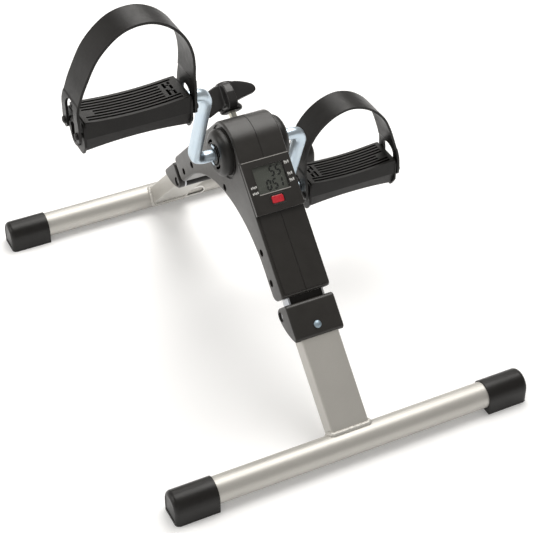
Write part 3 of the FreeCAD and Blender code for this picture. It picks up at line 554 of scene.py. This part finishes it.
def smoothstep(a, b, x):
    t = min(max((x - a) / (b - a), 0.0), 1.0)
    return t * t * (3 - 2 * t)


LEFT_LINE = [(-58.9, -7.0), (-58.9, 10.0), (-58.7, 25.0), (-54.0, 41.0), (-48.3, 54.0), (-40.5, 69.4), (-32.7, 80.1),
                   (-22.1, 90.1), (-11.8, 96.8), (-1.7, 100.2), (8.3, 101.3), (18.2, 100.4), (28.1, 96.8), (37.9, 90.7),
                   (47.3, 81.4), (54.0, 70.5), (58.4, 57.0), (59.6, 43.9), (59.3, 33.1), (58.8, 22.1), (58.2, 10.0), (58.1, -7.0)]
RIGHT_LINE = [(-57.4, -7.0), (-57.3, 8.0), (-55.6, 23.5), (-50.2, 42.8), (-44.6, 58.5), (-37.8, 71.9), (-28.7, 82.3),
                    (-17.4, 90.9), (-6.0, 95.8), (5.0, 97.8), (16.0, 96.4), (26.5, 92.6), (35.8, 86.8), (44.2, 79.2),
                    (51.2, 69.8), (56.6, 58.5), (59.4, 45.0), (59.9, 33.1), (59.4, 22.1), (58.6, 10.0), (58.3, -7.0)]


def build_strap(side, line, arch_a, arch_b):
    lo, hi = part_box(side + "_pedal_body")
    cx, cy = (lo.x + hi.x) / 2, (lo.y + hi.y) / 2
    cz = hi.z - 14.8 * MM
    sx = 1 if side == "left" else -1
    c = Curve(catmull(line))
    L = c.length
    end = 5.25
    arch_r = 10.5

    def half(d):
        w = 21.0 - 3.0 * smoothstep(17.0, 44.0, d)
        return w

    def gap(d, arch0):
        if d < arch0:
            return arch_r
        if d < arch0 + arch_r:
            return math.sqrt(max(arch_r ** 2 - (d - arch0) ** 2, 0.0))
        return 0.0

    # rows of points: near each end they follow the round-topped notch
    def end_rows(arch0):
        r = [0.04, 0.25, 0.7, 1.4, 2.4, 3.7, end]
        k = max(2, int((arch0 - 1.0 - end) / 3.2))
        r += [end + (arch0 - 1.0 - end) * i / k for i in range(1, k + 1)]
        r += [arch0 + arch_r * math.sin(math.radians(a)) for a in (0, 12, 24, 36, 47, 57, 66, 74, 81, 86.5)]
        r += [arch0 + arch_r]
        s0 = arch0 + arch_r
        step_at = max(s0 + 0.9, 34.9)
        if step_at - s0 > 2.5:
            k = max(1, int((step_at - s0) / 3.0))
            r += [s0 + (step_at - s0) * i / k for i in range(1, k)]
        r += [step_at, step_at + 0.8, step_at + 2.3, step_at + 4.8]
        return r, step_at

    ends_a, step_a = end_rows(arch_a)
    ends_b, step_b = end_rows(arch_b)
    mid_n = 74
    rows = [(d, d, arch_a, step_a) for d in ends_a]
    a0, b0 = ends_a[-1], ends_b[-1]
    rows += [(a0 + (L - a0 - b0) * i / mid_n, 99, arch_a, step_a) for i in range(1, mid_n)]
    rows += [(L - d, d, arch_b, step_b) for d in reversed(ends_b)]
    m = 7
    verts, faces = [], []
    grid = []
    for s, d, arch0, step_at in rows:
        p = c.at(s)
        t = c.tangent(s)
        nrm = Vector((-t.y, t.x))
        e = min(s, L - s)
        out = 0.45 * (1 - smoothstep(step_at, step_at + 0.8, d))
        p = p + nrm * out
        h, g = half(d), gap(d, arch0)
        lv, rv = [], []
        if g > 0:
            v0, v1 = -h, -g
            if e < end:
                # round the tine's tip
                mid = (v0 + v1) / 2
                w = (v1 - v0) / 2 * math.sqrt(max(1 - ((end - e) / end) ** 2.4, 0.0004))
                v0, v1 = mid - w, mid + w
            lv = [v0 + (v1 - v0) * j / m for j in range(m + 1)]
            rv = [-v for v in reversed(lv)]
        else:
            lv = [-h + h * j / m for j in range(m + 1)]
            rv = [-v for v in reversed(lv)]

        def point(v):
            return Vector((cx + sx * p.x * MM, cy + v * MM, cz + p.y * MM))

        li = []
        for v in lv:
            verts.append(point(v))
            li.append(len(verts) - 1)
        ri = []
        for k, v in enumerate(rv):
            if g <= 0 and k == 0:
                ri.append(li[-1])
                continue
            verts.append(point(v))
            ri.append(len(verts) - 1)
        grid.append((li, ri))
    for (l0, r0), (l1, r1) in zip(grid, grid[1:]):
        for a, b in ((l0, l1), (r0, r1)):
            for j in range(m):
                q = (a[j], a[j + 1], b[j + 1], b[j])
                if len(set(q)) == 4:
                    faces.append(q)
    me = bpy.data.meshes.new(side + "_toe_strap")
    me.from_pydata([tuple(v) for v in verts], [], faces)
    me.update()
    bm = bmesh.new()
    bm.from_mesh(me)
    bm.normal_update()
    # outward is away from the foot
    centre = Vector((cx, cy, cz + 0.045))
    flips = sum(1 if f.normal.dot(f.calc_center_median() - centre) < 0 else -1 for f in bm.faces)
    if flips > 0:
        bmesh.ops.reverse_faces(bm, faces=bm.faces)
    bm.to_mesh(me)
    bm.free()
    for q in me.polygons:
        q.use_smooth = True
    o = bpy.data.objects.new(side + "_toe_strap", me)
    bpy.context.scene.collection.objects.link(o)
    me.materials.append(strap_mat.m)
    so = o.modifiers.new("thickness", "SOLIDIFY")
    so.thickness = 2.6 * MM
    so.offset = -1
    so.use_even_offset = True
    bevel(o, 0.75 * MM, 3, 50)
    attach(o, side + "_pedal")
    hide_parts(side + "_pedal_strap")
    return o


build_strap("left", LEFT_LINE, 27.0, 12.0)
build_strap("right", RIGHT_LINE, 23.5, 12.0)


# ---------------------------------------------------------------- weld beads
def weld_bead(end):
    side = -1 if end == "front" else 1
    bar_n, bar_s = (15.2 + 236.9) * K, (15.2 - 236.9) * K
    nc = 175.8
    pts = rounded_rect(21.4, 10.2, 2.4, 6, 0.0, nc)
    dense = []
    for i in range(len(pts)):
        a, b = pts[i], pts[(i + 1) % len(pts)]
        k = max(1, int(math.hypot(b[0] - a[0], b[1] - a[1]) / 0.9))
        dense += [(a[0] + (b[0] - a[0]) * j / k, a[1] + (b[1] - a[1]) * j / k) for j in range(k)]
    path = []
    for x, n in dense:
        dn = n - bar_n
        s = bar_s + math.sqrt(max(14.2 ** 2 - dn * dn, 0.0)) if abs(dn) < 14.2 else bar_s
        path.append(arm(n, s + 0.2, x, side))
    # even spacing
    c = Curve([p / MM for p in path] + [path[0] / MM])
    n = 230
    path = [c.at(c.length * i / n) * MM for i in range(n)]

    def radius(i):
        ripple = 0.22 * math.sin(i * 2 * math.pi / 5.2) + 0.35 * noise.noise(Vector((i * 0.21, 3.0 * side, 1.0)))
        return (2.75 + ripple) * MM

    v, f = tube(path, radius, 12, closed=True)
    out = [p + Vector((noise.noise(p * 420), noise.noise(p * 420 + Vector((5, 1, 2))), noise.noise(p * 420 + Vector((9, 4, 7))))) * 0.00022 for p in v]
    o = obj(end + "_weld_bead", out, f, weld_mat)
    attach(o, end + "_leg")
    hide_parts(end + "_weld")
    return o


weld_bead("front")
weld_bead("rear")


# --------------------------------------------------------------- snap springs
def build_spring(end):
    """V leaf behind a snap button."""
    side = -1 if end == "front" else 1
    t, low = 0.8, -80.0
    n0, n1 = 171.2, 180.5
    cn, r = (n0 + n1) / 2, (n1 - n0) / 2
    outer = [(n1, -28.5), (n1, -42.0), (n1, -60.0)]
    inner = [(n1 - t, -28.5), (n1 - t, -42.0), (n1 - t, -60.0)]
    for i in range(19):
        a = math.radians(180 * i / 18)
        outer.append((cn + r * math.cos(a), low - r * math.sin(a)))
        inner.append((cn + (r - t) * math.cos(a), low - (r - t) * math.sin(a)))
    outer += [(n0, -60.0), (n0, -42.0)]
    inner += [(n0 + t, -60.0), (n0 + t, -42.0)]
    k = len(outer)
    verts = [arm(n, v, x, side) for loop, x in ((outer, -6.0), (inner, -6.0), (inner, 6.0), (outer, 6.0)) for n, v in loop]
    faces = []
    for i in range(k - 1):
        for a in range(4):
            b = (a + 1) % 4
            faces.append((a * k + i, a * k + i + 1, b * k + i + 1, b * k + i))
    faces += [(0, k, 2 * k, 3 * k), (4 * k - 1, 3 * k - 1, 2 * k - 1, k - 1)]
    o = obj(end + "_leaf_spring", verts, faces, steel)
    sharpen(o, 40)
    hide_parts(end + "_snap_spring")
    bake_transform(o)
    return o


build_spring("front")
build_spring("rear")


# ------------------------------------------------- rear bar's elongated hole
def bar_hole():
    """Turned-in rim round the hole, coloured light grey as a painted highlight, and the silver-painted strip behind it.
    """
    c = Vector((33.0, 236.9, 15.2))
    a = math.radians(8)
    d = Vector((0, -math.cos(a), -math.sin(a)))
    e = Vector((0, -math.sin(a), math.cos(a)))

    def on_bar(u, v, r):
        t = v / 14.0
        return (c + Vector((u, 0, 0)) + (d * math.cos(t) + e * math.sin(t)) * r) * MM

    path = [on_bar(u, v, 14.15) for u, v in rounded_rect(12.9, 4.9, 4.89, 14)]
    v, f = tube(path, 0.95 * MM, 12, closed=True)
    # painted highlight: the rim takes the light-grey painted-highlight material
    rim = obj("bar_hole_rim", v, f, bright)
    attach(rim, "rear_leg")
    cols = 12
    verts, faces = [], []
    for r in (11.9, 12.3):
        for i in range(cols + 1):
            for j in range(7):
                verts.append(on_bar(-13.6 + 27.2 * i / cols, -5.6 + 11.2 * j / 6, r))
    n = (cols + 1) * 7
    for i in range(cols):
        for j in range(6):
            k = i * 7 + j
            faces.append((k, k + 1, k + 8, k + 7))
            faces.append((n + k, n + k + 7, n + k + 8, n + k + 1))
    edge = [i * 7 for i in range(cols)] + [cols * 7 + j for j in range(6)] + [i * 7 + 6 for i in range(cols, 0, -1)] + [j for j in range(6, 0, -1)]
    for i in range(len(edge)):
        p, q = edge[i], edge[(i + 1) % len(edge)]
        faces.append((p, q, n + q, n + p))
    plug = obj("bar_hole_back", verts, faces, silver)
    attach(plug, "rear_leg")


bar_hole()


# -------------------------------------------------------------- tension knob
def revolve_arm(prof, s0, side, segs=40, x0=0.0):
    """Closed turned shape; prof is (radius, n) pairs about the line x = x0, s = s0."""
    verts, faces = [], []
    for r, n in prof:
        for j in range(segs):
            t = 2 * math.pi * j / segs
            verts.append(arm(n, s0 + r * math.sin(t), x0 + r * math.cos(t), side))
    for i in range(len(prof) - 1):
        for j in range(segs):
            j2 = (j + 1) % segs
            faces.append((i * segs + j, i * segs + j2, (i + 1) * segs + j2, (i + 1) * segs + j))
    faces.append(tuple(range(segs))[::-1])
    faces.append(tuple(range((len(prof) - 1) * segs, len(prof) * segs)))
    return verts, faces


def build_knob():
    ks = 227.0 * K - 14.0
    wing_r = [(4.0, 231.0), (11.4, 230.4), (17.7, 228.6), (25.0, 225.8), (30.2, 222.8), (32.3, 219.6), (32.0, 216.2), (29.4, 213.9), (20.4, 212.4), (12.7, 210.8), (4.0, 209.0)]
    wing_l = [(-4.0, 230.0), (-11.2, 229.6), (-17.5, 227.4), (-24.0, 224.0), (-28.5, 219.0), (-30.0, 212.0), (-29.0, 204.0), (-26.6, 200.4), (-23.5, 200.2), (-17.5, 202.6), (-12.5, 204.6), (-4.0, 207.0)]
    parts = []
    for pts in (wing_r, wing_l):
        inner, outer = [], []
        for x, n in pts:
            w = 5.6 - 1.6 * smoothstep(8.0, 31.0, abs(x))
            inner.append(arm(n, ks - w, x, 1))
            outer.append(arm(n, ks + w, x, 1))
        k = len(pts)
        faces = [tuple(range(k))[::-1], tuple(range(k, 2 * k))] + [(i, (i + 1) % k, k + (i + 1) % k, k + i) for i in range(k)]
        parts.append((inner + outer, faces))
    for sg, x0, n0, n1, reach in ((1, -1.5, 201.2, 231.2, 18.0), (-1, 2.0, 204.0, 232.5, 18.0)):
        prof = [(3.0, n0 + 2.5), (11.0, n0), (15.0, n0 + 1.0), (reach, n0 + 6.0), (reach, n1 - 13.0), (16.6, n1 - 8.5), (13.4, n1 - 4.4), (8.5, n1 - 1.4), (3.0, n1)]
        inner = [arm(n, ks + sg * v, x0 - 4.9, 1) for v, n in prof]
        outer = [arm(n, ks + sg * v, x0 + 4.9, 1) for v, n in prof]
        k = len(prof)
        faces = [tuple(range(k))[::-1], tuple(range(k, 2 * k))] + [(i, (i + 1) % k, k + (i + 1) % k, k + i) for i in range(k)]
        parts.append((inner + outer, faces))
    parts.append(revolve_arm([(4.8, 200.0), (10.5, 200.0), (12.3, 201.6), (12.0, 204.6), (9.2, 207.5), (9.2, 228.5), (8.0, 231.6), (4.0, 232.6)], ks, 1))
    o = obj("tension_knob_grip", *join(parts), knob_mat)
    r = o.modifiers.new("skin", "REMESH")
    r.mode = "VOXEL"
    r.voxel_size = 0.00055
    r.use_smooth_shade = True
    m = o.modifiers.new("soften", "SMOOTH")
    m.factor = 0.5
    m.iterations = 30
    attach(o, "tension_knob")
    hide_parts("tension_knob")
    return o


build_knob()


# --------------------------------------------------------------------- cranks
def build_crank(side):
    """Bent bar with pressed-flat arms, wider across than they are thick."""
    sx = -1 if side == "left" else 1
    ang = math.radians(21.0)
    u = Vector((0, sx * math.sin(ang), -sx * math.cos(ang)))
    a = Vector((sx, 0, 0))
    across = a.cross(u).normalized()
    c = Vector((0, 0, 227.0))
    plane, throw, b = 61.5, 110.0, 13.0
    lo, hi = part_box("crank_" + side)
    far = (hi.x if sx > 0 else -lo.x) / MM
    pts = []
    for i in range(12):
        pts.append((c + a * (10.2 + (plane - b - 10.2) * i / 12), 0.0))
    for i in range(15):
        t = math.radians(90 * i / 14)
        pts.append((c + a * (plane - b + b * math.sin(t)) + u * (b - b * math.cos(t)), smoothstep(20, 90, 90 * i / 14)))
    for i in range(1, 24):
        pts.append((c + a * plane + u * (b + (throw - 2 * b) * i / 24), 1.0))
    for i in range(15):
        t = math.radians(90 * i / 14)
        pts.append((c + a * (plane + b - b * math.cos(t)) + u * (throw - b + b * math.sin(t)), 1.0 - smoothstep(0, 70, 90 * i / 14)))
    for i in range(1, 30):
        pts.append((c + a * (plane + b + (far - 0.2 - plane - b) * i / 29) + u * throw, 0.0))
    segs = 32
    verts, faces = [], []
    n = len(pts)
    for i, (p, flat) in enumerate(pts):
        d = (pts[min(i + 1, n - 1)][0] - pts[max(i - 1, 0)][0]).normalized()
        v = across
        w = d.cross(v).normalized()
        rv = 6.35 + 1.45 * flat
        rw = 6.35 - 0.75 * flat
        q = 2.0 + 0.9 * flat
        for j in range(segs):
            t = 2 * math.pi * j / segs
            ct, st = math.cos(t), math.sin(t)
            e = 2.0 / q
            x = math.copysign(abs(ct) ** e, ct) * rv
            y = math.copysign(abs(st) ** e, st) * rw
            verts.append((p + v * x + w * y) * MM)
    for i in range(n - 1):
        for j in range(segs):
            j2 = (j + 1) % segs
            faces.append((i * segs + j, i * segs + j2, (i + 1) * segs + j2, (i + 1) * segs + j))
    faces.append(tuple(range(segs))[::-1])
    faces.append(tuple(range((n - 1) * segs, n * segs)))
    o = obj("crank_bar_" + side, verts, faces, zinc)
    bevel(o, 0.0004, 2, 50)
    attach(o, "crank")
    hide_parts("crank_" + side)
    return o


build_crank("left")
build_crank("right")


def bush_lugs(side):
    """Two bright tabs of the retaining clip on the end of the crank's bush."""
    sx = -1 if side == "left" else 1
    lo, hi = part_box("crank_bush_" + side)
    face = (hi.x if sx > 0 else -lo.x) / MM
    parts = []
    for mid in (90.0, 270.0):
        outline = []
        for r, steps in ((11.6, range(0, 9)), (8.6, range(8, -1, -1))):
            for i in steps:
                t = math.radians(mid - 17.0 + 34.0 * i / 8)
                outline.append((r * math.cos(t), 227.0 + r * math.sin(t)))
        parts.append(extrude_outline(outline, lambda u, v, h: Vector((sx * (face + h), u, v)) * MM, 0.02, 0.75))
    o = obj("bush_clip_" + side, *join(parts), zinc)
    bevel(o, 0.00015, 2, 50)
    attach(o, "housing")


bush_lugs("left")
bush_lugs("right")


# ------------------------------------------------------------ display details
def on_console(n0):
    return lambda u, v, h: arm(n0 + h, v, u)


def segment_digit(ch, u0, v0, w, h, t, slant=0.08):
    """Seven-segment numeral. u to the right, v up the panel."""
    on = {"0": "abcdef", "1": "bc", "2": "abged", "3": "abgcd", "4": "fgbc", "5": "afgcd",
          "6": "afgedc", "7": "abc", "8": "abcdefg", "9": "abfgcd"}[ch]
    parts = []
    g = t * 0.14

    def horiz(v):
        a, b = u0 + t * 0.5 + g, u0 + w - t * 0.5 - g
        return [(a, v), (a + t / 2, v + t / 2), (b - t / 2, v + t / 2), (b, v), (b - t / 2, v - t / 2), (a + t / 2, v - t / 2)]

    def vert(u, va, vb):
        a, b = va + g, vb - g
        return [(u, a), (u + t / 2, a + t / 2), (u + t / 2, b - t / 2), (u, b), (u - t / 2, b - t / 2), (u - t / 2, a + t / 2)]

    lo, mi, hi = v0 + t / 2, v0 + h / 2, v0 + h - t / 2
    left, right = u0 + t / 2, u0 + w - t / 2
    shapes = {"a": horiz(hi), "g": horiz(mi), "d": horiz(lo), "f": vert(left, mi, hi), "b": vert(right, mi, hi),
              "e": vert(left, lo, mi), "c": vert(right, lo, mi)}
    for k in on:
        parts.append([(u + slant * (v - v0), v) for u, v in shapes[k]])
    return parts


outlines = []
for ch, u in (("5", 0.4), ("5", 7.4)):
    outlines += segment_digit(ch, u, 119.2, 5.6, 11.2, 1.75)
for ch, u in (("0", -6.6), ("5", 0.2), ("1", 6.2)):
    outlines += segment_digit(ch, u, 106.3, 5.6, 11.2, 1.75)
digits = obj("display_numerals", *join([extrude_outline(o, on_console(190.66), 0.0, 0.30) for o in outlines]), ink, smooth=False)
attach(digits, "housing")

# small plain legend marks beside the window
marks = []


def mark(u, v, w, h, r=0.35):
    marks.append(extrude_outline(rounded_rect(w / 2, h / 2, r, 3, u, v), on_console(193.0), 0.0, 0.10))


for v in (111.0, 117.6, 129.6):
    for i, du in enumerate((-1.9, -0.1, 1.9)):
        mark(20.9 + du, v + (0.5 if i != 1 else -0.2), 1.35, 2.3)
        mark(20.9 + du, v - 1.5 + 0.3 * i, 1.0, 0.8, 0.25)
for v in (106.8, 112.8):
    for i, du in enumerate((-2.5, -0.8, 0.9, 2.6)):
        mark(-20.9 + du, v + (0.35 if i % 2 else -0.1), 1.15, 2.2, 0.25)
legend = obj("legend_marks", *join(marks), white, smooth=False)
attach(legend, "housing")

# light lip round the display window
place = on_console(193.0)
lip = ring_outline(rounded_rect(17.6, 14.5, 1.0, 4, 0, 118.3), rounded_rect(16.9, 13.8, 0.6, 4, 0, 118.3), place, -0.25, 0.22)
o = obj("window_lip", *lip, housing)
bevel(o, 0.0001, 2)
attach(o, "housing")
# painted highlight: a light-grey strip along the window's lower lip
low = extrude_outline(rounded_rect(17.4, 0.42, 0.3, 3, 0, 103.9), place, 0.0, 0.36)
o = obj("window_lower_lip_highlight", *low, painted_highlight_grey)
bevel(o, 0.0001, 2)
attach(o, "housing")
# light edge along the console's upper side
# painted highlight: the strip's light grey stands in for light on the bezel's top edge
top = extrude_outline(rounded_rect(25.9, 0.36, 0.3, 3, 0, 139.25), on_console(192.9), 0.0, 0.30)
o = obj("console_edge_highlight", *top, painted_highlight_grey)
bevel(o, 0.0001, 2)
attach(o, "housing")
scoop = ring_outline(rounded_rect(8.4, 5.7, 2.2, 6, 0, 96.2), rounded_rect(7.3, 4.6, 1.3, 6, 0, 96.2), place, -0.2, 0.42)
o = obj("button_surround", *scoop, housing)
bevel(o, 0.0002, 2)
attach(o, "housing")


# ------------------------------------------------------------------ the stage
def floor():
    n = 24
    verts, faces = [], []
    size = 9.0
    for i in range(n + 1):
        for j in range(n + 1):
            verts.append(Vector((-size + 2 * size * i / n, -size + 2 * size * j / n, 0.0)))
    for i in range(n):
        for j in range(n):
            a = i * (n + 1) + j
            faces.append((a, a + n + 1, a + n + 2, a + 1))
    m = plain_detail("floor_pale", (0.90, 0.90, 0.90), 0.75, 0, 60, 0.01, 0.0)
    m.b.inputs["Emission Color"].default_value = (1, 1, 1, 1)
    m.b.inputs["Emission Strength"].default_value = 0.16
    o = obj("studio_floor", verts, faces, m)
    return o


floor()


def area(name, loc, target, size, power, color=(1, 1, 1)):
    d = bpy.data.lights.new(name, "AREA")
    d.shape = "RECTANGLE"
    d.size, d.size_y = size
    d.energy = power
    d.color = color
    o = bpy.data.objects.new(name, d)
    o.location = loc
    o.rotation_euler = (Vector(target) - Vector(loc)).to_track_quat("-Z", "Y").to_euler()
    o.visible_camera = False
    bpy.context.scene.collection.objects.link(o)
    return o


target = (0, 0, 0.15)
area("key_left", (-2.3, 0.6, 1.6), target, (1.7, 1.7), 30, (1.0, 0.985, 0.96))
area("top_soft", (0.75, 0.60, 2.75), (0, 0, 0), (2.1, 2.1), 67, (1.0, 0.985, 0.96))
area("back_soft", (0.9, 2.3, 1.9), target, (1.5, 1.2), 15, (1.0, 0.985, 0.96))
area("back_left", (-1.2, 2.3, 0.7), target, (1.6, 1.0), 2, (1.0, 0.985, 0.96))
area("fill_front", (-0.9, -2.6, 1.0), target, (1.6, 1.6), 5, (1.0, 0.985, 0.96))

world = bpy.data.worlds.new("studio")
world.use_nodes = True
bg = world.node_tree.nodes["Background"]
bg.inputs[0].default_value = (1.0, 0.975, 0.94, 1)
bg.inputs[1].default_value = 0.32
bpy.context.scene.world = world
bpy.context.scene.view_settings.view_transform = "Standard"

cam = bpy.data.cameras.new("camera")
cam.sensor_width = 36.0
cam.lens = 104.88
cam.clip_start, cam.clip_end = 0.05, 60
cam_o = bpy.data.objects.new("camera", cam)
cam_o.location = (-0.5637, -1.1876, 1.1199)
cam_o.rotation_euler = (math.radians(51.344), 0, math.radians(-26.213))
bpy.context.scene.collection.objects.link(cam_o)
bpy.context.scene.camera = cam_o

bpy.context.view_layer.update()
